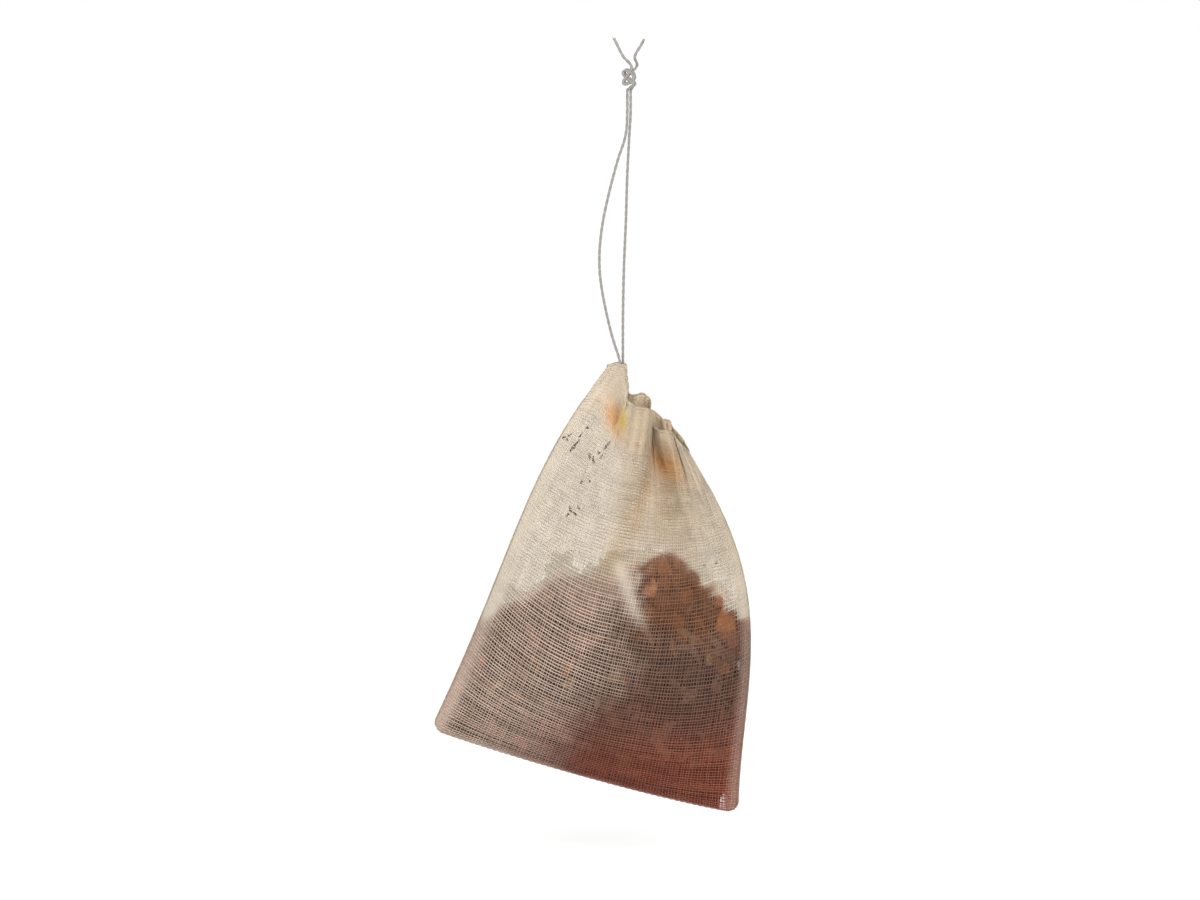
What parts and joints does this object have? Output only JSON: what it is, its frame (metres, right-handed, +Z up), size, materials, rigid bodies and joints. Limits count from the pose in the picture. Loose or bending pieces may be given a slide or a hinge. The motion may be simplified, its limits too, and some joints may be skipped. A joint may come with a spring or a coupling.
{
  "type": "cloth tea bag",
  "caption": "Muslin tea bag on a cotton drawstring: hemmed, gathered at the mouth, filled with wet leaf tea and hanging from the knot of its string.",
  "frame": {"origin": "middle of the knot that joins the two ends of the drawstring, where the bag is held", "axes": "+Z up, along the string as the bag hangs; +X along the bag's width, towards the free side seam; +Y to the back"},
  "size_m": [0.067, 0.0233, 0.1651],
  "materials": {
    "muslin": "wet unbleached open-weave cotton",
    "cotton_string": "twisted white cotton",
    "wet_tea": "wet dark leaves",
    "tea_leaf": "wet brown leaf"
  },
  "bodies": {
    "root": {"bag_cloth": "muslin", "drawstring": "cotton_string", "string_knot": "cotton_string", "tea_leaf_mass": "wet_tea", "tea_leaf_01": "tea_leaf", "tea_leaf_02": "tea_leaf", "tea_leaf_03": "tea_leaf", "tea_leaf_04": "tea_leaf", "tea_leaf_05": "tea_leaf", "tea_leaf_06": "tea_leaf", "tea_leaf_07": "tea_leaf", "tea_leaf_08": "tea_leaf"}
  },
  "joints": []
}
